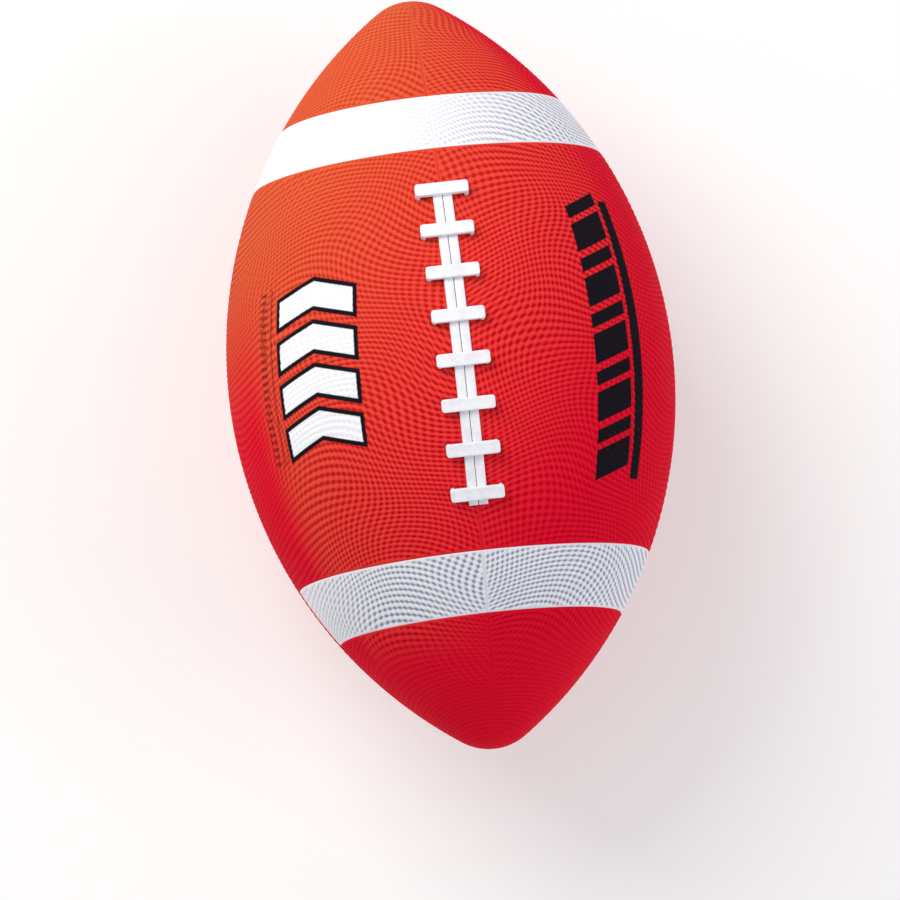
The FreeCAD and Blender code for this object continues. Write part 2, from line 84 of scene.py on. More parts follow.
def meridian_angle(x):
    """Angle of a place on the long arc, from the middle of the ball, about the arc's centre."""
    return math.asin(x / LONG)


print("long arc", round(LONG / MM, 2), "mm; it meets the tip arc at", round(TIP_START / MM, 2), "mm")

# %% [markdown]
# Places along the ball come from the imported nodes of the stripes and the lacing. They are read
# here once, so that every later cell works from the same numbers. The valve sits in the middle of
# a lower panel. The lace bed, a shallow hollow round the lacing, reaches a little past it.

# %% Places along the ball
stripe_low, stripe_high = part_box("stripe_head_left")
STRIPE_NEAR = stripe_low.x
STRIPE_FAR = stripe_high.x
run_low, run_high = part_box("lace_run_left")
RUN_THICK = 1.5 * MM
BAR_COUNT = 8
BAR_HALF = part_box("lace_cross_bar_1")[1].y
BAR_WIDTH = 5.0 * MM
BAR_THICK = 1.9 * MM
BAR_ANGLES = []
for number in range(1, BAR_COUNT + 1):
    low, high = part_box(f"lace_cross_bar_{number}")
    BAR_ANGLES.append(math.atan2((low.x + high.x) / 2, (low.z + high.z) / 2 + DROP))
BED_DEPTH = 0.4 * MM
BED_SHOWN = 0.1 * MM
BED_GRAIN = 0.85
BED_SIDE = 0.9 * MM
BED_END = 1.2 * MM
BED_HALF = BAR_HALF + BED_SIDE
BED_HEAD = LONG * math.sin(BAR_ANGLES[0]) + BAR_WIDTH / 2 + BED_END
BED_FOOT = run_low.x - BED_END
VALVE_ANGLE = math.radians(225)
VALVE = Vector((0, math.cos(VALVE_ANGLE), math.sin(VALVE_ANGLE))) * BELLY
print("stripes", round(STRIPE_NEAR / MM, 1), "to", round(STRIPE_FAR / MM, 1), "mm; bed",
      round(BED_FOOT / MM, 1), "to", round(BED_HEAD / MM, 1), "mm")

# %% [markdown]
# The pebbled grain is what a hand feels on the cover. It is moulded as two families of rows that
# cross nearly square, so that a pit stands wherever two valleys meet. The rows bend in long waves,
# and here and there one family is weaker, which leaves rows of dashes instead of dots. Each panel
# has its own mould, so each takes its grain from another place in the same endless pattern.

# %% The pebbled grain
PEBBLE_PITCH = 2.3 * MM
PEBBLE_HEIGHT = 0.34 * MM
LONG_BEND = 8.5 * MM
LONG_WAVES = (131 * MM, 143 * MM)
SHORT_BEND = 2.6 * MM
SHORT_WAVES = (67 * MM, 59 * MM)
WEAKER_WAVE = 83 * MM
WEAKEST, WEAKER_BY = 0.72, 0.28
FULLNESS = 1.12
PANEL_SHIFT = 61 * MM


def wave(value, length, start=0.0):
    """A sine wave of that length, begun at an angle in radians."""
    return np.sin(2 * math.pi * value / length + start)


def pebbles(along, beside):
    """Height of the grain, 0 to 1, from distances along a panel and from its middle line."""
    first = along + LONG_BEND * wave(beside, LONG_WAVES[0], 0.6)
    first += SHORT_BEND * wave(along + 0.7 * beside, SHORT_WAVES[0], 2.0)
    second = beside + LONG_BEND * wave(along, LONG_WAVES[1], 1.1)
    second += SHORT_BEND * wave(along - 0.9 * beside, SHORT_WAVES[1])
    weaker = WEAKEST + WEAKER_BY * wave(along + 1.6 * beside, WEAKER_WAVE, 0.4)
    rows = wave(first, PEBBLE_PITCH) + weaker * wave(second, PEBBLE_PITCH)
    height = 0.5 + 0.5 * rows / (1 + weaker)
    return 1 - (1 - height) ** FULLNESS


print("grain", PEBBLE_PITCH / MM, "mm apart and", PEBBLE_HEIGHT / MM, "mm high")

# %% [markdown]
# The grain isn't the same everywhere. It dies out at the seams, at the rims of the stripes and
# round the valve, it is weaker on the lace bed, and it is worn low towards the foot and at both
# tips. The same cell gives the outline of the lace bed and the slots that the lace ends go into.


# %% Smooth places and depths
SEAM_FADE = (0.3 * MM, 1.3 * MM)
RIM_FADE = (0.3 * MM, 1.6 * MM)
FOOT_FADE = (97 * MM, 112 * MM)
FOOT_WEAR = 0.55
TIP_SMOOTH = (1 * MM, 9 * MM)
TIP_GRAIN = 0.35
BED_SOFT = 0.45 * MM
SLOT_INSET = 0.9 * MM
SLOT_REACH = 1.05 * MM
SLOT_ROOM = 0.15 * MM
SLOT_SOFT = (-0.1 * MM, 0.2 * MM)
SLOT_DEPTH = 0.9 * MM


def ramp(value, start, end):
    """0 before start, 1 after end, smooth between."""
    share = np.clip((value - start) / (end - start), 0, 1)
    return share * share * (3 - 2 * share)


def grain_share(x, seam, stripe_edge):
    """How much of the grain stands at each place, from distances to the seam and to a stripe's rim."""
    clear_of_edges = ramp(seam, *SEAM_FADE) * ramp(stripe_edge, *RIM_FADE)
    worn = 1 - FOOT_WEAR * ramp(-x, *FOOT_FADE)
    off_tip = ramp(HALF_LENGTH - np.abs(x), *TIP_SMOOTH)
    return clear_of_edges * worn * (TIP_GRAIN + (1 - TIP_GRAIN) * off_tip)


def bed_share(x, across):
    """1 on the lace bed and 0 off it, with a soft edge."""
    inside = np.minimum(BED_HALF - np.abs(across), np.minimum(BED_HEAD - x, x - BED_FOOT))
    return ramp(inside, -BED_SOFT, BED_SOFT)


def slot_depth(x, y):
    """Depth of the slots that the turned-down ends of the cross bars go into."""
    share = np.zeros(len(x))
    for angle in BAR_ANGLES:
        along = np.abs(x - LONG * math.sin(angle)) / math.cos(angle)
        beside = np.abs(np.abs(y) - (BAR_HALF - SLOT_INSET))
        inside = np.minimum(BAR_WIDTH / 2 + SLOT_ROOM - along, SLOT_REACH - beside)
        share = np.maximum(share, ramp(inside, *SLOT_SOFT))
    return share * SLOT_DEPTH


print("slots", SLOT_DEPTH / MM, "mm deep at", len(BAR_ANGLES), "bars")

# %% [markdown]
# Each part of the cover is a fine sheet. By hand it is made as a meridian, which is a stretch of
# a circle, spun a quarter turn round the long axis. The circle comes from the circle primitive
# with its corners at the wanted spacing, two bisect cuts leave the wanted stretch, and the
# tips get a second, small circle. The sheet's faces stay small enough to carry the grain.

# %% Helpers for work in edit mode
GRID = 0.48 * MM
CLOSE = 1e-6


def deselect_all():
    if bpy.context.object and bpy.context.object.mode != "OBJECT":
        bpy.ops.object.mode_set(mode="OBJECT")
    bpy.ops.object.select_all(action="DESELECT")


def make_active(piece):
    deselect_all()
    piece.select_set(True)
    bpy.context.view_layer.objects.active = piece


def points_of(piece):
    """All points of a mesh as an array with a row for each."""
    flat = np.empty(len(piece.data.vertices) * 3, dtype=np.float32)
    piece.data.vertices.foreach_get("co", flat)
    return flat.reshape(-1, 3).astype(float)


def put_points(piece, points):
    piece.data.vertices.foreach_set("co", points.astype(np.float32).ravel())
    piece.data.update()


def edge_array(piece):
    """The two point numbers of every edge, as an array with a row for each."""
    ends = np.empty(len(piece.data.edges) * 2, dtype=np.int32)
    piece.data.edges.foreach_get("vertices", ends)
    return ends.reshape(-1, 2)


def select_points(piece, chosen):
    """Selects the points that are marked true, and leaves the mesh in edit mode."""
    bpy.ops.object.mode_set(mode="EDIT")
    bpy.ops.mesh.select_mode(type="VERT")
    bpy.ops.mesh.select_all(action="DESELECT")
    bpy.ops.object.mode_set(mode="OBJECT")
    piece.data.vertices.foreach_set("select", chosen)
    bpy.ops.object.mode_set(mode="EDIT")


print("grid", GRID / MM, "mm")

# %% [markdown]
# The outline itself is a chain of short edges. A tip is only made at the head, and the sheets at
# the foot are mirrored from it. A bisect cut leaves no point on a loose chain, so where the tip arc
# takes over from the long one, the two end a little short of each other and get an edge between.


# %% The outline as a chain of edges
def arc_primitive(radius, centre_x, centre_z):
    """A circle of the ball's outline in the XZ plane, in edit mode and selected."""
    count = 4 * int(math.ceil(2 * math.pi * radius / GRID / 4))
    bpy.ops.mesh.primitive_circle_add(
        vertices=count, radius=radius, location=(centre_x, 0, centre_z),
        rotation=(math.radians(90), 0, 0), fill_type="NOTHING",
    )
    bpy.ops.object.transform_apply(location=True, rotation=True, scale=True)
    bpy.ops.object.mode_set(mode="EDIT")
    bpy.ops.mesh.select_all(action="SELECT")


def keep_between(low_x, high_x):
    """Cuts the selected chain at two places and keeps its upper stretch between them."""
    cuts = [((low_x, 0, 0), (-1, 0, 0)), ((high_x, 0, 0), (1, 0, 0)), ((0, 0, 0), (0, 0, -1))]
    for place, away in cuts:
        bpy.ops.mesh.select_all(action="SELECT")
        bpy.ops.mesh.bisect(plane_co=place, plane_no=away, clear_outer=True, use_fill=False)
    bpy.ops.mesh.select_all(action="SELECT")


def outline_chain(low_x, high_x):
    """The ball's outline above the long axis between two places, as one chain of edges."""
    deselect_all()
    arc_primitive(LONG, 0, -DROP)
    keep_between(low_x, min(high_x, TIP_START))
    bpy.ops.object.mode_set(mode="OBJECT")
    chain = bpy.context.object
    if high_x > TIP_START:
        arc_primitive(TIP, TIP_CENTRE, 0)
        keep_between(TIP_START, HALF_LENGTH + MM)
        bpy.ops.object.mode_set(mode="OBJECT")
        chain.select_set(True)
        bpy.context.view_layer.objects.active = chain
        bpy.ops.object.join()
        close_chain(chain, TIP_START)
    return chain


def close_chain(chain, place):
    """Puts an edge between the two loose ends of a chain that lie beside a place along the axis."""
    uses = np.bincount(edge_array(chain).ravel(), minlength=len(chain.data.vertices))
    loose = (uses == 1) & (np.abs(points_of(chain)[:, 0] - place) < GRID)
    select_points(chain, loose)
    bpy.ops.mesh.edge_face_add()
    bpy.ops.object.mode_set(mode="OBJECT")
    print("closed the outline at", round(place / MM, 1), "mm between", int(loose.sum()), "ends")


print("tip arc from", round(TIP_START / MM, 1), "to", round(HALF_LENGTH / MM, 1), "mm")

# %% [markdown]
# A sheet's outermost grid lines follow the section of the edge that they form: a seam edge rolls
# over and turns down to the carcass, a rim beside a stripe only dips a little, and where two
# sheets of the same panel lap, the outer lines sink under the neighbour, so that no line shows.
# Places are kept as lengths along the surface, where the grid is even.

# %% Sections of the edges, in millimetres from the edge and below the surface
SEAM_EDGE = [(0.0, 1.50), (0.0, 0.28), (0.12, 0.13), (0.32, 0.03), (0.75, 0.0)]
RIM_EDGE = [(0.0, 0.58), (0.0, 0.20), (0.16, 0.10), (0.38, 0.02), (0.75, 0.0)]
LAP_EDGE = [(-1.40, 0.12), (-0.90, 0.05), (-0.45, 0.012), (0.0, 0.0)]
POLE_EDGE = [(0.0, 0.0)]
TIP_ARC_LENGTH = LONG * TIP_TURN
SQUEEZE_RADIUS = 7 * MM
DIMPLE = 0.15 * MM


def arc_length(x):
    """Distance along the surface from the middle of the ball, for a place along the long axis."""
    if abs(x) <= TIP_START:
        return LONG * meridian_angle(x)
    beyond = math.asin(min((abs(x) - TIP_CENTRE) / TIP, 1.0)) - TIP_TURN
    return math.copysign(TIP_ARC_LENGTH + TIP * beyond, x)


def outline_at(length):
    """Place along the axis, radius, and both parts of the outward direction, from arc lengths."""
    side = np.sign(length)
    long_turn = length / LONG
    tip_turn = TIP_TURN + (np.abs(length) - TIP_ARC_LENGTH) / TIP
    on_tip = np.abs(length) > TIP_ARC_LENGTH
    x = np.where(on_tip, side * (TIP_CENTRE + TIP * np.sin(tip_turn)), LONG * np.sin(long_turn))
    radius = np.where(on_tip, TIP * np.cos(tip_turn), LONG * np.cos(long_turn) - DROP)
    out_x = np.where(on_tip, side * np.sin(tip_turn), np.sin(long_turn))
    out_r = np.where(on_tip, np.cos(tip_turn), np.cos(long_turn))
    return x, np.maximum(radius, 0), out_x, out_r


def line_places(index, count, span, edges, squeeze=1.0):
    """Distance from the first edge, and depth, of each grid line of a sheet."""
    first, last = (np.array(edge) * MM for edge in edges)
    lead, trail = len(first) - 1, len(last) - 1
    back = count - 1 - index
    share = (index - lead) / (count - 1 - lead - trail)
    start = first[-1, 0] * squeeze
    inner = start + share * (span - last[-1, 0] * squeeze - start)
    on_first = np.interp(index, range(lead + 1), first[:, 0]) * squeeze
    on_last = span - np.interp(back, range(trail + 1), last[:, 0]) * squeeze
    place = np.where(index < lead, on_first, np.where(back < trail, on_last, inner))
    depth = np.interp(index, range(lead + 1), first[:, 1])
    depth += np.interp(back, range(trail + 1), last[:, 1])
    return place, depth


print("length of the long arc to a tip", round(TIP_ARC_LENGTH / MM, 1), "mm")

# %% [markdown]
# The chain is spun in a few steps, the edges that run round the ball are subdivided, which is much
# quicker than spinning every column, and the doubles at the tip are merged, which closes the pole.
# Every point of the grid then has a row along the ball and a column round it.

# %% Spin a grid
QUARTER = math.pi / 2
STRIP_COLUMNS = 12
PANEL_STARTS = {
    "upper_left": QUARTER,
    "upper_right": 2 * QUARTER,
    "lower_right": 3 * QUARTER,
    "lower_left": 0.0,
}


def select_rungs(grid):
    """Selects the edges that run round the ball, and leaves the mesh in edit mode."""
    bpy.ops.mesh.select_mode(type="EDGE")
    bpy.ops.mesh.select_all(action="DESELECT")
    bpy.ops.object.mode_set(mode="OBJECT")
    along = points_of(grid)[:, 0]
    ends = edge_array(grid)
    rungs = np.abs(along[ends[:, 0]] - along[ends[:, 1]]) < CLOSE / 10
    grid.data.edges.foreach_set("select", rungs)
    bpy.ops.object.mode_set(mode="EDIT")


def spin_grid(low_x, high_x):
    """A quarter turn of the outline in even rows and columns, with each point's row and column."""
    grid = outline_chain(low_x, high_x)
    widest = LONG * math.cos(meridian_angle(max(low_x, 0.0))) - DROP
    strips = int(round(widest * QUARTER / GRID / STRIP_COLUMNS))
    bpy.ops.object.mode_set(mode="EDIT")
    bpy.ops.mesh.select_all(action="SELECT")
    bpy.ops.mesh.spin(steps=strips, angle=QUARTER, center=(0, 0, 0), axis=(1, 0, 0))
    select_rungs(grid)
    bpy.ops.mesh.subdivide(number_cuts=STRIP_COLUMNS - 1)
    bpy.ops.mesh.select_all(action="SELECT")
    bpy.ops.mesh.remove_doubles(threshold=CLOSE)
    bpy.ops.object.mode_set(mode="OBJECT")
    bpy.ops.object.shade_smooth()
    return (grid, *rows_and_columns(grid, strips * STRIP_COLUMNS + 1))


def rows_and_columns(grid, column_count):
    """Each point's row along the ball and column round it, with the number of each."""
    points = points_of(grid)
    levels, rows = np.unique(np.round(points[:, 0], 7), return_inverse=True)
    turned = np.arctan2(points[:, 1], points[:, 2])
    columns = np.round(turned / QUARTER * (column_count - 1))
    on_pole = np.hypot(points[:, 1], points[:, 2]) < CLOSE / 10
    columns[on_pole] = (column_count - 1) // 2
    return rows, len(levels), columns, column_count


# %% [markdown]
# Now the sheet gets its surface. Rows and columns give each point's place on the smooth ball,
# and the point moves along the outward direction by the grain, less the depth of the edges, the
# lace bed and the slots. The height of the grain is also kept on the mesh, so that painted shade
# can darken the colour between the pebbles, and a UV map holds real distances for the printed shapes.

# %% Give a sheet its surface
VALVE_SMOOTH = (7.0 * MM, 9.0 * MM)
VALVE_OPENING = 4.15 * MM
RING_RADIUS = 5.6 * MM
RING_HALF_WIDTH = 0.6 * MM
RING_HEIGHT = 0.28 * MM
MEAN_GRAIN = 0.6
POLE_FADE = (3 * MM, 45 * MM)
UV_SCALE = 0.1


def signed_turn(angle, middle):
    """Angle from a middle direction, between minus and plus half a turn."""
    return (angle - middle + math.pi) % (2 * math.pi) - math.pi


def distance_to_rims(length, angle):
    """Distance along the surface to the nearest edge of a stripe, which only upper panels have."""
    near = np.abs(np.abs(length) - arc_length(STRIPE_NEAR))
    far = np.abs(np.abs(length) - arc_length(STRIPE_FAR))
    return np.where(np.sin(angle) > -CLOSE, np.minimum(near, far), BELLY)


def valve_distance(length, angle, radius):
    return np.hypot(length, signed_turn(angle, VALVE_ANGLE) * radius)


def grain_at(length, angle, around, width, start, bed):
    """Height of the grain, 0 to 1, from places along and round the ball and on the panel."""
    x, radius = outline_at(length)[:2]
    off_valve = valve_distance(length, angle, radius)
    share = grain_share(x, np.minimum(around, width - around), distance_to_rims(length, angle))
    share = share * (1 - bed * (1 - BED_GRAIN)) * ramp(off_valve, *VALVE_SMOOTH)
    here = start * PANEL_SHIFT
    grain = pebbles(length + 2 * here, around - width / 2 + here)
    return MEAN_GRAIN + (grain - MEAN_GRAIN) * share


def valve_ring(length, angle, radius):
    """Height of the ring moulded round the valve."""
    off_middle = (valve_distance(length, angle, radius) - RING_RADIUS) / RING_HALF_WIDTH
    return RING_HEIGHT * np.exp(-(off_middle**2))


def grid_surface(rows, row_count, columns, column_count, start, ends, edges):
    """Points of a sheet, the grain's height there, and distances along and round the ball."""
    first, last = (arc_length(end) for end in ends)
    along, row_depth = line_places(rows, row_count, last - first, edges)
    length = first + along
    x, radius, out_x, out_r = outline_at(length)
    width = radius * QUARTER
    squeeze = np.minimum(radius / SQUEEZE_RADIUS, 1.0)
    around, seam_depth = line_places(columns, column_count, width, (SEAM_EDGE, SEAM_EDGE), squeeze)
    angle = start - around / np.maximum(radius, 1e-9)
    near_pole = 1 - ramp(radius, *POLE_FADE)
    seam_depth = seam_depth * (1 - near_pole) + DIMPLE * near_pole
    off_lace_seam = signed_turn(angle, QUARTER)
    y, z = radius * np.cos(angle), radius * np.sin(angle)
    upper = z > -MM
    bed = bed_share(x, off_lace_seam * radius) * upper
    grain = grain_at(length, angle, around, width, start, bed)
    height = (grain - MEAN_GRAIN) * PEBBLE_HEIGHT + valve_ring(length, angle, radius)
    height -= seam_depth + row_depth + bed * BED_SHOWN + slot_depth(x, y) * upper
    outside = radius + out_r * height
    points = np.stack([x + out_x * height, outside * np.cos(angle), outside * np.sin(angle)], 1)
    return points, grain, length, off_lace_seam * BELLY


def add_surface_uv(sheet, length, across):
    """A UV map in decimetres: U along the ball from its middle, V round it from the lace seam."""
    layer = sheet.data.uv_layers.new(name="surface")
    corners = np.empty(len(sheet.data.loops), dtype=np.int32)
    sheet.data.loops.foreach_get("vertex_index", corners)
    pairs = np.stack([length[corners], across[corners]], axis=1) / UV_SCALE
    layer.data.foreach_set("uv", pairs.astype(np.float32).ravel())


def add_number(sheet, name, values):
    """Keeps a number at each point, which a material can read by its name."""
    attribute = sheet.data.attributes.new(name, "FLOAT", "POINT")
    attribute.data.foreach_set("value", values.astype(np.float32))


def cover_sheet(name, grid, panel, ends, edges, mirrored=False):
    """A copy of a grid as one sheet of a cover panel or stripe, with its surface."""
    template, rows, row_count, columns, column_count = grid
    sheet = template.copy()
    sheet.data = template.data.copy()
    sheet.name = name
    bpy.context.scene.collection.objects.link(sheet)
    if mirrored:
        rows = row_count - 1 - rows
    points, grain, length, across = grid_surface(
        rows, row_count, columns, column_count, PANEL_STARTS[panel], ends, edges
    )
    put_points(sheet, points)
    add_number(sheet, "grain", grain)
    add_surface_uv(sheet, length, across)
    flip_if_inward(sheet)
    print(name, len(sheet.data.polygons), "faces; facing out:", round(face_outwardness(sheet), 3))
    return sheet


def flip_if_inward(piece):
    """Turns the faces over where the mesh has come out facing inwards."""
    if face_outwardness(piece) > 0.5:
        return
    make_active(piece)
    bpy.ops.object.mode_set(mode="EDIT")
    bpy.ops.mesh.select_all(action="SELECT")
    bpy.ops.mesh.flip_normals()
    bpy.ops.object.mode_set(mode="OBJECT")


def face_outwardness(piece):
    """Share of the faces whose direction is away from the long axis or the middle."""
    normals = np.empty(len(piece.data.polygons) * 3, dtype=np.float32)
    centres = np.empty(len(piece.data.polygons) * 3, dtype=np.float32)
    piece.data.polygons.foreach_get("normal", normals)
    piece.data.polygons.foreach_get("center", centres)
    return float(((normals * centres).reshape(-1, 3).sum(1) > 0).mean())


# %% [markdown]
# An upper panel is a middle sheet between its two stripes and a sheet at each tip. A lower panel
# has no stripes, and its three sheets lap under each other instead, only to keep each mesh to a
# handy size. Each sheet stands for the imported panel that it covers.

# %% Cover panels and stripes
middle_grid = spin_grid(-STRIPE_NEAR, STRIPE_NEAR)
stripe_grid = spin_grid(STRIPE_NEAR, STRIPE_FAR)
tip_grid = spin_grid(STRIPE_FAR, HALF_LENGTH)
long_tip_grid = spin_grid(STRIPE_NEAR, HALF_LENGTH)
cover_pieces = []
stripe_pieces = []


def stands_for(piece, slot_name, *nodes):
    """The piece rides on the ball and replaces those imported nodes."""
    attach(piece, "root")
    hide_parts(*nodes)


def add_panel(panel, end_grid, start, rim):
    """The three sheets of a panel: the middle one, and one from start to the tip at each end."""
    sections = {
        "head": (end_grid, (start, HALF_LENGTH), (rim, POLE_EDGE), False),
        "middle": (middle_grid, (-STRIPE_NEAR, STRIPE_NEAR), (rim, rim), False),
        "foot": (end_grid, (-HALF_LENGTH, -start), (POLE_EDGE, rim), True),
    }
    for section, (grid, ends, edges, mirrored) in sections.items():
        sheet = cover_sheet(f"cover_{panel}_{section}", grid, panel, ends, edges, mirrored)
        stands_for(sheet, "cover_rubber", f"panel_{panel}")
        cover_pieces.append(sheet)


for side in ("left", "right"):
    add_panel(f"upper_{side}", tip_grid, STRIPE_FAR, RIM_EDGE)
    add_panel(f"lower_{side}", long_tip_grid, STRIPE_NEAR, LAP_EDGE)
    for end, ends in (("head", (STRIPE_NEAR, STRIPE_FAR)), ("foot", (-STRIPE_FAR, -STRIPE_NEAR))):
        name = f"white_stripe_{end}_{side}"
        sheet = cover_sheet(name, stripe_grid, f"upper_{side}", ends, (RIM_EDGE, RIM_EDGE), end == "foot")
        stands_for(sheet, "stripe_rubber", f"stripe_{end}_{side}")
        stripe_pieces.append(sheet)
for grid in (middle_grid, stripe_grid, tip_grid, long_tip_grid):
    bpy.data.objects.remove(grid[0])

# %% [markdown]
# The valve sits flush in a lower panel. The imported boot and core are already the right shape, so
# the sheet over them only needs a clean round opening: the faces over the neck are deleted, the
# edge is pulled onto the circle, extruded and pushed inwards as the wall of the opening.

# %% Opening for the valve
OPENING_WALL = 1.5 * MM
INWARD = -VALVE.normalized()


def off_valve_axis(sheet):
    """Each point's offset from the valve's axis, its length, and whether it is on the valve's side."""
    points = points_of(sheet)
    straight_out = np.array(VALVE.normalized())
    off_axis = points - np.outer(points @ straight_out, straight_out)
    return off_axis, np.linalg.norm(off_axis, axis=1), points @ straight_out > BELLY / 2


def cut_valve_opening(sheet):
    off_axis, distance, facing = off_valve_axis(sheet)
    make_active(sheet)
    select_points(sheet, facing & (distance < VALVE_OPENING))
    bpy.ops.mesh.delete(type="VERT")
    bpy.ops.object.mode_set(mode="OBJECT")
    off_axis, distance, facing = off_valve_axis(sheet)
    ring = rim_points(sheet) & (distance < VALVE_OPENING + 3 * GRID) & facing
    points = points_of(sheet)
    points[ring] += off_axis[ring] * (VALVE_OPENING / distance[ring] - 1)[:, None]
    put_points(sheet, points)
    select_points(sheet, ring)
    bpy.ops.mesh.select_mode(type="EDGE")
    bpy.ops.mesh.extrude_edges_move(TRANSFORM_OT_translate={"value": INWARD * OPENING_WALL})
    bpy.ops.object.mode_set(mode="OBJECT")
    return int(ring.sum())


def rim_points(sheet):
    """True at the points on the open boundary of a sheet."""
    sides = np.empty(len(sheet.data.loops), dtype=np.int32)
    sheet.data.loops.foreach_get("edge_index", sides)
    uses = np.bincount(sides, minlength=len(sheet.data.edges))
    on_rim = np.zeros(len(sheet.data.vertices), dtype=bool)
    on_rim[edge_array(sheet)[uses == 1].ravel()] = True
    return on_rim


valve_sheet = bpy.data.objects["cover_lower_right_middle"]
print("points round the valve opening:", cut_valve_opening(valve_sheet))

# %% [markdown]
# The lace of a moulded ball is stiff white vinyl. A cross bar is a flat strap whose two ends turn
# down into the slots. It starts as a box, two bisect cuts mark the legs, the faces under them are
# extruded down, the top is inset and lowered a little, and every outer edge gets a small bevel.

# %% One cross bar
BAR_UNDER = BELLY - BED_DEPTH + RUN_THICK
LEG_LENGTH = BAR_UNDER - (BELLY - 1.2 * MM)
LEG_THICK = 1.8 * MM
LEG_INNER = BAR_HALF - LEG_THICK
BAR_CORNER = 1.1 * MM
BAR_BEVEL = 0.4 * MM
TOP_INSET = 0.5 * MM
TOP_SUNK = 0.05 * MM
TOP_SLOPE = 0.5 * MM


def start_editing(piece):
    """Edit mode with nothing selected, choosing by faces."""
    make_active(piece)
    bpy.ops.object.mode_set(mode="EDIT")
    bpy.ops.mesh.select_mode(type="FACE")
    bpy.ops.mesh.select_all(action="DESELECT")


def select_faces(piece, wanted):
    """Selects the faces for which wanted(centre, normal) is true, and leaves the mesh in edit mode."""
    bpy.ops.object.mode_set(mode="OBJECT")
    for face in piece.data.polygons:
        face.select = wanted(face.center, face.normal)
    bpy.ops.object.mode_set(mode="EDIT")


def select_corner_edges(bar):
    """Selects the upright edges at the bar's four corners, and leaves the mesh in edit mode."""
    bpy.ops.mesh.select_mode(type="EDGE")
    bpy.ops.mesh.select_all(action="DESELECT")
    bpy.ops.object.mode_set(mode="OBJECT")
    points = points_of(bar)
    ends = edge_array(bar)
    upright = np.hypot(*(points[ends[:, 0]] - points[ends[:, 1]])[:, :2].T) < CLOSE
    at_end = np.abs(points[ends[:, 0]][:, 1]) > BAR_HALF - CLOSE
    bar.data.edges.foreach_set("select", upright & at_end)
    bpy.ops.object.mode_set(mode="EDIT")


def make_cross_bar():
    """A bar at the middle of the ball, with its legs turned down."""
    deselect_all()
    bpy.ops.mesh.primitive_cube_add(size=1, location=(0, 0, BAR_UNDER + BAR_THICK / 2))
    bar = bpy.context.object
    bar.scale = (BAR_WIDTH, 2 * BAR_HALF, BAR_THICK)
    bpy.ops.object.transform_apply(location=True, rotation=True, scale=True)
    start_editing(bar)
    for place in (-LEG_INNER, LEG_INNER):
        bpy.ops.mesh.select_all(action="SELECT")
        bpy.ops.mesh.bisect(plane_co=(0, place, 0), plane_no=(0, 1, 0))
    bpy.ops.mesh.select_all(action="DESELECT")
    select_faces(bar, lambda centre, normal: normal.z < -0.9 and abs(centre.y) > LEG_INNER)
    bpy.ops.mesh.extrude_region_move(TRANSFORM_OT_translate={"value": (0, 0, -LEG_LENGTH)})
    select_corner_edges(bar)
    bpy.ops.mesh.bevel(offset=BAR_CORNER, segments=4, affect="EDGES")
    bpy.ops.object.mode_set(mode="OBJECT")
    bevel = bar.modifiers.new("edges", "BEVEL")
    bevel.width = BAR_BEVEL
    bevel.segments = 3
    bevel.limit_method = "ANGLE"
    bevel.angle_limit = math.radians(40)
    bpy.ops.object.modifier_apply(modifier="edges")
    start_editing(bar)
    select_faces(bar, lambda centre, normal: normal.z > 0.99 and centre.z > BAR_UNDER + BAR_THICK * 0.9)
    bpy.ops.mesh.inset(thickness=TOP_INSET, depth=0)
    bpy.ops.mesh.inset(thickness=TOP_SLOPE, depth=-TOP_SUNK)
    bpy.ops.object.mode_set(mode="OBJECT")
    bpy.ops.object.shade_smooth_by_angle(angle=math.radians(35))
    return bar


first_bar = make_cross_bar()
print("cross bar faces:", len(first_bar.data.polygons))

# %% [markdown]
# The eight bars are copies of that one. Each copy has its own mesh and is turned about the centre
# of the long arc, which carries it along the seam and keeps it square to the surface.

# %% Eight cross bars
lace_pieces = []


def turn_towards_head(piece, angle):
    """Turns a piece's points about the centre of the long arc."""
    x, y, z = points_of(piece).T
    z = z + DROP
    sine, cosine = math.sin(angle), math.cos(angle)
    put_points(piece, np.stack([x * cosine + z * sine, y, z * cosine - x * sine - DROP], axis=1))


def turned_copy(piece, name, angle):
    copy = piece.copy()
    copy.data = piece.data.copy()
    copy.name = name
    bpy.context.scene.collection.objects.link(copy)
    turn_towards_head(copy, angle)
    return copy


for number, angle in enumerate(BAR_ANGLES, start=1):
    bar = turned_copy(first_bar, f"lace_bar_{number}", angle)
    stands_for(bar, "lace_vinyl", f"lace_cross_bar_{number}")
    lace_pieces.append(bar)
bpy.data.objects.remove(first_bar)
print("bars from", round(lace_pieces[0].data.vertices[0].co.x / MM, 1), "to",
      round(lace_pieces[-1].data.vertices[0].co.x / MM, 1), "mm")

# %% [markdown]
# The two lengthwise runs lie side by side under the bars. A run is a flat section with rounded
# corners, made from a plane with bevelled corners, spun along the seam about the centre of the
# long arc. Its two ends are closed with faces.

# %% Lengthwise runs
RUN_GAP = 0.2 * MM
RUN_WIDTH = 3.5 * MM
RUN_CORNER = 0.5 * MM
RUN_STEPS = 90
RUN_ENDS = (meridian_angle(run_low.x), meridian_angle(run_high.x))


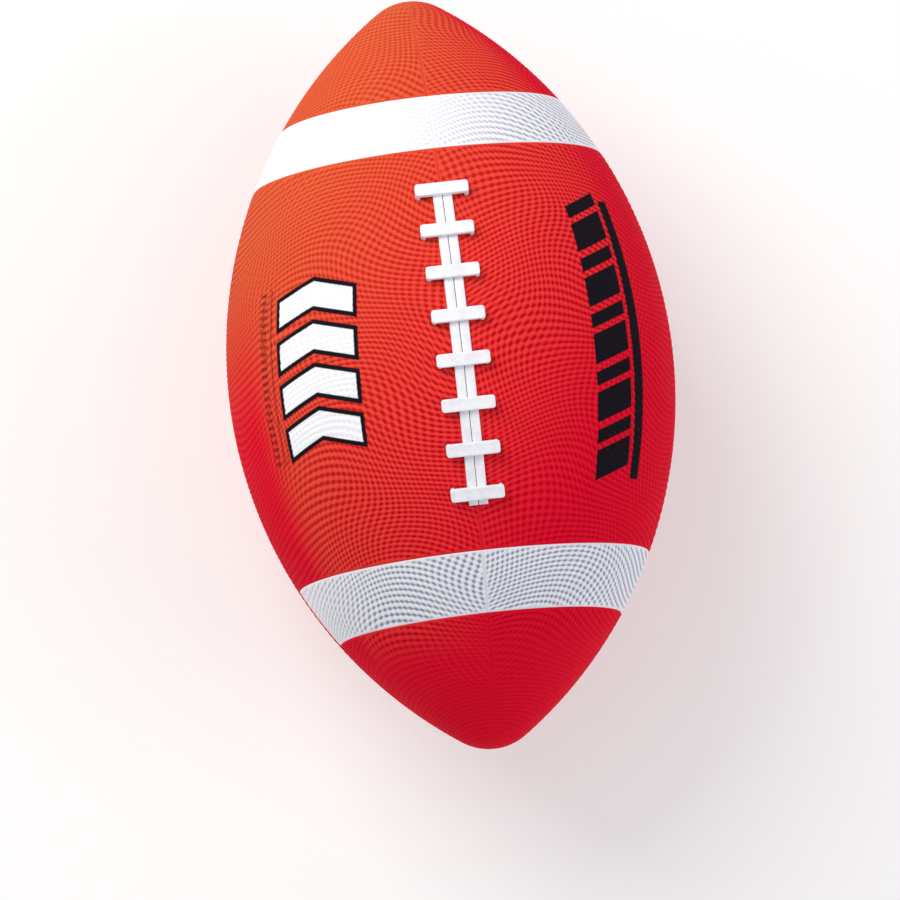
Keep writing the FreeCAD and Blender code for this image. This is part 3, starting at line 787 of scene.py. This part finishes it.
def make_run(name, side):
    """One run, on the left for side 1 and on the right for side -1."""
    deselect_all()
    centre = (0, side * (RUN_GAP + RUN_WIDTH) / 2, BELLY - BED_DEPTH + RUN_THICK / 2)
    bpy.ops.mesh.primitive_plane_add(size=1, location=centre, rotation=(0, QUARTER, 0))
    run = bpy.context.object
    run.name = name
    run.scale = (RUN_THICK, RUN_WIDTH, 1)
    bpy.ops.object.transform_apply(location=True, rotation=True, scale=True)
    bpy.ops.object.mode_set(mode="EDIT")
    bpy.ops.mesh.select_all(action="SELECT")
    bpy.ops.mesh.bevel(offset=RUN_CORNER, segments=3, affect="VERTICES")
    bpy.ops.mesh.select_all(action="SELECT")
    bpy.ops.mesh.spin(steps=RUN_STEPS, angle=RUN_ENDS[1] - RUN_ENDS[0], center=(0, 0, -DROP),
                      axis=(0, 1, 0))
    bpy.ops.object.mode_set(mode="OBJECT")
    points = points_of(run)
    reach = np.arctan2(points[:, 0], points[:, 2] + DROP)
    turn_towards_head(run, RUN_ENDS[0] - reach.min())
    bpy.ops.object.mode_set(mode="EDIT")
    bpy.ops.mesh.select_all(action="SELECT")
    bpy.ops.mesh.remove_doubles(threshold=CLOSE)
    bpy.ops.mesh.normals_make_consistent(inside=False)
    bpy.ops.object.mode_set(mode="OBJECT")
    bpy.ops.object.shade_smooth_by_angle(angle=math.radians(50))
    return run


for side, sign in (("left", 1), ("right", -1)):
    run = make_run(f"lace_strand_{side}", sign)
    stands_for(run, "lace_vinyl", f"lace_run_{side}")
    lace_pieces.append(run)
    print(run.name, "from", round(points_of(run)[:, 0].min() / MM, 1), "to",
          round(points_of(run)[:, 0].max() / MM, 1), "mm")

# %% [markdown]
# Materials are built from nodes. Small helpers keep the cells short: one makes a material with its
# main shader, one adds a node with its inputs set or linked, and the others add what recurs.

# %% Helpers for materials
SPECK_SCALE = 1800.0


def new_material(name, roughness):
    material = bpy.data.materials.new(name)
    material.use_nodes = True
    shader = material.node_tree.nodes["Principled BSDF"]
    shader.inputs["Roughness"].default_value = roughness
    return material, shader


def add_node(material, kind, values=(), **settings):
    """A node whose inputs, in order or by name, are numbers, colours or other nodes' outputs."""
    node = material.node_tree.nodes.new(kind)
    for key, value in settings.items():
        setattr(node, key, value)
    pairs = values.items() if isinstance(values, dict) else enumerate(values)
    for key, value in pairs:
        if isinstance(value, bpy.types.NodeSocket):
            material.node_tree.links.new(value, node.inputs[key])
        elif value is not None:
            node.inputs[key].default_value = value
    return node


def calc(material, operation, *values):
    return add_node(material, "ShaderNodeMath", values, operation=operation).outputs[0]


def blend_colours(material, share, first, second):
    """A colour between two, by a share from 0 to 1. Colours are linear (red, green, blue)."""
    mix = add_node(material, "ShaderNodeMix", data_type="RGBA")
    for key, value in ((0, share), (6, first), (7, second)):
        if isinstance(value, bpy.types.NodeSocket):
            material.node_tree.links.new(value, mix.inputs[key])
        elif isinstance(value, tuple):
            mix.inputs[key].default_value = (*value, 1)
        else:
            mix.inputs[key].default_value = value
    return mix.outputs[2]


def soft_step(material, value, start, end):
    """0 below start and 1 above end."""
    node = add_node(material, "ShaderNodeMapRange", (value, start, end, 0.0, 1.0),
                    interpolation_type="SMOOTHSTEP")
    return node.outputs[0]


def noise(material, coordinates, scale, detail=3.0, roughness=0.6):
    values = {"Vector": coordinates, "Scale": scale, "Detail": detail, "Roughness": roughness}
    return add_node(material, "ShaderNodeTexNoise", values).outputs[0]


def link(material, output, shader, socket):
    material.node_tree.links.new(output, shader.inputs[socket])


def object_place(material):
    return add_node(material, "ShaderNodeTexCoord").outputs["Object"]


def grain_of(material):
    """The grain's height that each sheet keeps at its points."""
    return add_node(material, "ShaderNodeAttribute", attribute_name="grain").outputs["Fac"]


def add_bump(material, shader, height, strength, distance):
    values = {"Strength": strength, "Distance": distance, "Height": height}
    link(material, add_node(material, "ShaderNodeBump", values).outputs[0], shader, "Normal")


print("specks of", round(1000 / SPECK_SCALE, 2), "mm in the finest noise")

# %% [markdown]
# Prints are flat ink on the pebbles. They are measured on the UV map, in millimetres along the
# ball and round it. Each is a band that is cut into repeats, with slightly soft edges.

# %% Masks for the prints
PRINT_SOFT = 0.25


def uv_millimetres(material):
    """Millimetres along the ball from its middle, and round it from the lace seam."""
    uv = add_node(material, "ShaderNodeUVMap", uv_map="surface").outputs[0]
    parts = add_node(material, "ShaderNodeSeparateXYZ", (uv,))
    return [calc(material, "MULTIPLY", part, UV_SCALE / MM) for part in parts.outputs[:2]]


def within(material, value, start, end, soft=PRINT_SOFT):
    """1 between start and end, in the value's own units, with soft edges."""
    rise = soft_step(material, value, start - soft, start + soft)
    fall = soft_step(material, value, end - soft, end + soft)
    return calc(material, "SUBTRACT", rise, fall)


def repeats(material, along, start, pitch, count, share_from, share_to, lean):
    """A row of count marks: part of each pitch, where lean shifts the marks along."""
    shifted = calc(material, "ADD", along, lean)
    cells = calc(material, "DIVIDE", calc(material, "SUBTRACT", shifted, start), pitch)
    share = calc(material, "FRACT", cells)
    mark = within(material, share, share_from, share_to, PRINT_SOFT / pitch)
    row = within(material, cells, 0.0, float(count), 0.001)
    return calc(material, "MULTIPLY", mark, row)


def both(material, first, second):
    return calc(material, "MULTIPLY", first, second)


def either(material, first, second):
    return calc(material, "MAXIMUM", first, second)


def light_to_shade_slant(material, along, across):
    """Millimetres towards the head and the left side, along which painted shade gives way to painted light.
    """
    return calc(material, "SUBTRACT", calc(material, "MULTIPLY", along, 0.75), across)


print("print edges are soft over", 2 * PRINT_SOFT, "mm")

# %% [markdown]
# On the left panel stand four white chevrons with black edges, and beside them a thin line and a
# row of small ticks, both worn faint. The row runs at a slight angle to the seam. On the right
# panel thick and thin black bars lean over a long underline. All places are in millimetres.

# %% The two prints
ROW_DRIFT = 0.06
CHEVRON_MIDDLE = -58.4
CHEVRON_HALF = 17.45
CHEVRON_EDGE_HALF = 19.25
CHEVRON_SLOPE = 0.30
CHEVRON_ROW = (-30.0, 16.2, 4)
CHEVRON_WHITE = (0.22, 0.80)
CHEVRON_BLACK = (0.11, 0.91)
THIN_LINE = (-81.4, -80.6)
THIN_LINE_ENDS = (-34, 32)
TICK_BAND = (-88.0, -84.0)
TICK_ROW = (-34.0, 2.75, 24)
TICK_MARK = (0.25, 0.72)
FAINT = 0.62
SLANT_BAND = (53.8, 72.4)
SLANT_LEAN = -0.34
SLANT_ROW = (-75.0, 21.6, 5)
THICK_MARK = (0.08, 0.60)
THIN_MARK = (0.71, 0.95)
UNDERLINE = (74.6, 80.4)
UNDERLINE_ENDS = (-54, 53)


def closer_than(material, distance, limit):
    far = soft_step(material, distance, limit - PRINT_SOFT, limit + PRINT_SOFT)
    return calc(material, "SUBTRACT", 1.0, far)


def left_print(material, along, across):
    """White and black masks of the chevrons on the left panel, with a line and ticks beside them."""
    straight = calc(material, "SUBTRACT", across, calc(material, "MULTIPLY", along, ROW_DRIFT))
    off = calc(material, "ABSOLUTE", calc(material, "SUBTRACT", straight, CHEVRON_MIDDLE))
    lean = calc(material, "MULTIPLY", off, CHEVRON_SLOPE)
    white_row = repeats(material, along, *CHEVRON_ROW, *CHEVRON_WHITE, lean)
    black_row = repeats(material, along, *CHEVRON_ROW, *CHEVRON_BLACK, lean)
    white = both(material, closer_than(material, off, CHEVRON_HALF), white_row)
    black = both(material, closer_than(material, off, CHEVRON_EDGE_HALF), black_row)
    line = both(material, within(material, straight, *THIN_LINE), within(material, along, *THIN_LINE_ENDS))
    tick_row = repeats(material, along, *TICK_ROW, *TICK_MARK, 0.0)
    ticks = both(material, within(material, straight, *TICK_BAND), tick_row)
    faint = calc(material, "MULTIPLY", either(material, line, ticks), FAINT)
    return white, either(material, black, faint)


def right_print(material, along, across):
    """Mask of the slanted bars, thick and thin by turns, on the right panel and their underline."""
    lean = calc(material, "MULTIPLY", across, SLANT_LEAN)
    thick = repeats(material, along, *SLANT_ROW, *THICK_MARK, lean)
    thin = repeats(material, along, *SLANT_ROW, *THIN_MARK, lean)
    bars = both(material, within(material, across, *SLANT_BAND), either(material, thick, thin))
    line = both(material, within(material, across, *UNDERLINE), within(material, along, *UNDERLINE_ENDS))
    return either(material, bars, line)


print("chevrons:", CHEVRON_ROW[2], "and pairs of bars:", SLANT_ROW[2])

# %% [markdown]
# The cover is red rubber. Painted light turns it orange towards the head and the left side, and
# painted shade turns it crimson at the foot and down the far sides. Painted shade also darkens the
# valleys of the grain against its tops, which the grain's height, kept on the mesh, decides at each
# point. Ink lies on top of that and misses the deepest pits. The surface has a low, rough shine.

# %% Cover material
RED_TOP = (0.86, 0.050, 0.042)
# Painted shade: the darker red in the pits of the grain.
RED_PIT_SHADE = (0.44, 0.003, 0.009)
# Painted light: an orange copy of the red. Painted shade: a crimson copy, whose top colour also gives a
# random tone.
PAINTED_LIGHT_TOP = (0.68, 0.124, 0.040)
PAINTED_LIGHT_PIT = (0.50, 0.052, 0.022)
PAINTED_SHADE_AND_TONE_RED = (0.78, 0.004, 0.028)
PAINTED_SHADE_PIT = (0.57, 0.001, 0.016)
INK_BLACK = (0.010, 0.009, 0.013)
INK_WHITE = (0.88, 0.88, 0.92)
# Painted shade on the white ink in the pits.
INK_PIT_SHADE_GREY = (0.74, 0.75, 0.80)
# Grain heights over which the painted shade of the pits fades out.
PIT_SHADE_FADE = (0.18, 0.8)
TONE_SCALE = 30.0
TONE_SHARE = 0.15
# Places, in millimetres, where painted light turns the red orange and painted shade turns it crimson.
PAINTED_LIGHT_SLANT = (-20.0, 150.0)
PAINTED_SHADE_SLANT = (5.0, -95.0)
PAINTED_SHADE_MOST = 0.95
FAR_RIGHT = (58.0, 92.0)
FOOT_END = (-94.0, -125.0)
LOW_LEFT = (-76.0, -100.0)
LOW_LEFT_ALONG = (45.0, -25.0)
UNDER_LEFT = (-112.0, -165.0)
SHINE_TINT = (1.0, 0.62, 0.30, 1)


def painted_shade_share(material, along, across, light_slant):
    """Where painted shade darkens the red: the low side, the foot and both far sides."""
    beside = either(material, soft_step(material, along, *LOW_LEFT_ALONG),
                    soft_step(material, across, *UNDER_LEFT))
    low_left = both(material, soft_step(material, across, *LOW_LEFT), beside)
    far_sides = either(material, low_left, soft_step(material, across, *FAR_RIGHT))
    far_sides = either(material, far_sides, soft_step(material, along, *FOOT_END))
    shaded = either(material, soft_step(material, light_slant, *PAINTED_SHADE_SLANT), far_sides)
    return calc(material, "MULTIPLY", shaded, PAINTED_SHADE_MOST)


def cover_red(material, along, across, grain, place):
    """Red with painted shade in the valleys of the grain, painted light towards the head and left side, and
    painted shade at the foot and far sides.
    """
    tone = noise(material, place, TONE_SCALE)
    out_of_pit_shade = soft_step(material, grain, *PIT_SHADE_FADE)
    light_slant = light_to_shade_slant(material, along, across)
    # Painted shade darkens the red in the valleys of the grain, by the grain's height.
    red = blend_colours(material, out_of_pit_shade, RED_PIT_SHADE, RED_TOP)
    # Painted light makes one copy orange towards the head and left side. Painted shade makes another copy
    # crimson at the foot and far sides.
    lit_orange = blend_colours(material, out_of_pit_shade, PAINTED_LIGHT_PIT, PAINTED_LIGHT_TOP)
    shaded_crimson = blend_colours(material, out_of_pit_shade, PAINTED_SHADE_PIT, PAINTED_SHADE_AND_TONE_RED)
    red = blend_colours(material, soft_step(material, light_slant, *PAINTED_LIGHT_SLANT), red, lit_orange)
    red = blend_colours(material, painted_shade_share(material, along, across, light_slant), red, shaded_crimson)
    return blend_colours(material, calc(material, "MULTIPLY", tone, TONE_SHARE), red, PAINTED_SHADE_AND_TONE_RED)


def cover_material():
    material, shader = new_material("pebbled_rubber", 0.42)
    shader.inputs["IOR"].default_value = 1.15
    shader.inputs["Specular IOR Level"].default_value = 0.10
    shader.inputs["Specular Tint"].default_value = SHINE_TINT
    along, across = uv_millimetres(material)
    place = object_place(material)
    grain = grain_of(material)
    speck = noise(material, place, SPECK_SCALE, 2.0)
    red = cover_red(material, along, across, grain, place)
    white, black = left_print(material, along, across)
    dark = either(material, black, right_print(material, along, across))
    uneven = calc(material, "ADD", grain, calc(material, "MULTIPLY", speck, 0.25))
    taken = soft_step(material, uneven, 0.08, 0.20)
    # White ink turns grey in the pits of the grain: painted shade.
    white_ink = blend_colours(material, soft_step(material, grain, 0.0, 0.4), INK_PIT_SHADE_GREY, INK_WHITE)
    ink = blend_colours(material, white, INK_BLACK, white_ink)
    inked = either(material, calc(material, "MULTIPLY", dark, taken), white)
    link(material, blend_colours(material, inked, red, ink), shader, "Base Color")
    rough = calc(material, "ADD", 0.55, calc(material, "MULTIPLY", speck, 0.14))
    link(material, rough, shader, "Roughness")
    add_bump(material, shader, speck, 0.25, 0.2 * MM)
    return material


rubber = cover_material()
for piece in cover_pieces:
    piece.data.materials.append(rubber)
print("cover material nodes:", len(rubber.node_tree.nodes))

# %% [markdown]
# The stripes are white rubber with the same grain. Blue-grey painted shade lies in its valleys, and painted
# light washes it out towards the head and the left side. The lacing is smooth white vinyl with a faint
# mottle.

# %% White stripe and lace materials
WHITE_TOP = (0.88, 0.885, 0.92)
# Painted shade in the pits of the stripes, and the paler grey that painted light gives them towards the head
# and left side. That grey also gives a random tone.
WHITE_PIT_SHADE = (0.19, 0.21, 0.34)
WHITE_PAINTED_LIGHT_AND_TONE = (0.74, 0.75, 0.82)
LACE_WHITE = (0.86, 0.87, 0.91)
LACE_SHADE = (0.62, 0.62, 0.72)


def stripe_material():
    material, shader = new_material("white_rubber", 0.4)
    place = object_place(material)
    grain = grain_of(material)
    tone = noise(material, place, 45.0)
    along, across = uv_millimetres(material)
    light_slant = light_to_shade_slant(material, along, across)
    # Painted shade in the valleys, lightened by painted light towards the head and left side.
    pit_shade = blend_colours(material, soft_step(material, light_slant, -20.0, 90.0), WHITE_PIT_SHADE, WHITE_PAINTED_LIGHT_AND_TONE)
    white = blend_colours(material, soft_step(material, grain, 0.1, 0.75), pit_shade, WHITE_TOP)
    white = blend_colours(material, calc(material, "MULTIPLY", tone, 0.12), white, WHITE_PAINTED_LIGHT_AND_TONE)
    link(material, white, shader, "Base Color")
    speck = noise(material, place, SPECK_SCALE, 2.0)
    link(material, calc(material, "ADD", 0.34, calc(material, "MULTIPLY", speck, 0.14)), shader, "Roughness")
    return material


def lace_material():
    material, shader = new_material("lace_vinyl", 0.35)
    place = object_place(material)
    tone = noise(material, place, 220.0, 4.0)
    mottle = soft_step(material, tone, 0.42, 0.68)
    white = blend_colours(material, calc(material, "MULTIPLY", mottle, 0.35), LACE_WHITE, LACE_SHADE)
    link(material, white, shader, "Base Color")
    fine = noise(material, place, 900.0, 3.0)
    add_bump(material, shader, fine, 0.3, 0.3 * MM)
    return material


stripe_white = stripe_material()
lace_white = lace_material()
for piece in stripe_pieces:
    piece.data.materials.append(stripe_white)
for piece in lace_pieces:
    piece.data.materials.append(lace_white)
print("white materials on", len(stripe_pieces) + len(lace_pieces), "pieces")

# %% [markdown]
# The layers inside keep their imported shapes. They get plain working materials of their own, so
# that a cut-open ball would show cloth, thread and black rubber.

# %% Inner materials
INNER = {
    "bladder": ("butyl_black", (0.020, 0.020, 0.022), (0.035, 0.035, 0.038), 90.0),
    "winding": ("wound_nylon", (0.62, 0.60, 0.52), (0.78, 0.76, 0.68), 700.0),
    "carcass": ("rubbered_cloth", (0.20, 0.17, 0.13), (0.30, 0.26, 0.20), 900.0),
    "lace_backing_strip": ("backing_cloth", (0.55, 0.52, 0.45), (0.70, 0.67, 0.60), 900.0),
    "valve_boot": ("boot_rubber", (0.030, 0.029, 0.030), (0.050, 0.049, 0.050), 400.0),
    "valve_core": ("core_rubber", (0.045, 0.043, 0.043), (0.070, 0.068, 0.066), 500.0),
}


def inner_material(name, dark, light, scale):
    material, shader = new_material(name, 0.6)
    place = object_place(material)
    tone = noise(material, place, scale)
    link(material, blend_colours(material, tone, dark, light), shader, "Base Color")
    add_bump(material, shader, tone, 0.3, 0.3 * MM)
    return material


for node_name, description in INNER.items():
    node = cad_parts[node_name]
    node.data.materials.clear()
    node.data.materials.append(inner_material(*description))
print("inner materials:", len(INNER))

# %% [markdown]
# The ball lies with its laces up on a pale floor under a soft studio light. The key light is a
# large warm panel beyond the head on the left, and a weaker cool panel fills from the right.

# %% Floor, world and lights
FLOOR_SIZE = 80.0
FLOOR_DARK = (0.60, 0.60, 0.60)
FLOOR_LIGHT = (0.64, 0.64, 0.64)
FLOOR_GLOW = 0.35
SKY_COLOUR = (0.96, 0.97, 1.0, 1)
SKY_STRENGTH = 0.5
PANEL_SIZE = 0.9


def make_floor():
    deselect_all()
    bpy.ops.mesh.primitive_plane_add(size=FLOOR_SIZE, location=(0, 0, cad_low.z - PEBBLE_HEIGHT))
    floor = bpy.context.object
    floor.name = "floor"
    material, shader = new_material("floor_paper", 0.8)
    place = object_place(material)
    tone = noise(material, place, 3.0)
    link(material, blend_colours(material, tone, FLOOR_DARK, FLOOR_LIGHT), shader, "Base Color")
    shader.inputs["Emission Color"].default_value = (1.0, 1.0, 1.0, 1)
    shader.inputs["Emission Strength"].default_value = FLOOR_GLOW
    floor.data.materials.append(material)


def make_world():
    world = bpy.data.worlds.new("studio")
    bpy.context.scene.world = world
    world.use_nodes = True
    background = world.node_tree.nodes["Background"]
    background.inputs["Color"].default_value = SKY_COLOUR
    background.inputs["Strength"].default_value = SKY_STRENGTH


def make_panel_light(name, place, watts, colour):
    """A square lamp that faces the ball."""
    light = bpy.data.lights.new(name, "AREA")
    light.shape = "SQUARE"
    light.size = PANEL_SIZE
    light.energy = watts
    light.color = colour
    holder = bpy.data.objects.new(name, light)
    holder.location = place
    holder.rotation_euler = (-Vector(place)).to_track_quat("-Z", "Y").to_euler()
    holder.visible_camera = False
    bpy.context.scene.collection.objects.link(holder)


make_floor()
make_world()
make_panel_light("key", (0.75, 0.60, 1.0), 15, (1.0, 0.97, 0.92))
make_panel_light("fill", (-0.5, -1.2, 0.8), 6, (0.96, 0.94, 1.0))
bpy.context.scene.view_settings.view_transform = "Standard"

# %% [markdown]
# The camera looks almost straight down on the lacing through a long lens, a little from the foot
# and from the left, and the ball leans a few degrees in the frame.

# %% Camera
CAMERA_LENS = 472.3
CAMERA_PLACE = (-0.609, 0.2732, 4.3975)
CAMERA_TURNS = (7.860, -2.607, -96.679)
camera_data = bpy.data.cameras.new("camera")
camera_data.lens = CAMERA_LENS
camera = bpy.data.objects.new("camera", camera_data)
camera.location = CAMERA_PLACE
camera.rotation_euler = [math.radians(turn) for turn in CAMERA_TURNS]
bpy.context.scene.collection.objects.link(camera)
bpy.context.scene.camera = camera
print("camera at", [round(value, 3) for value in camera.location])
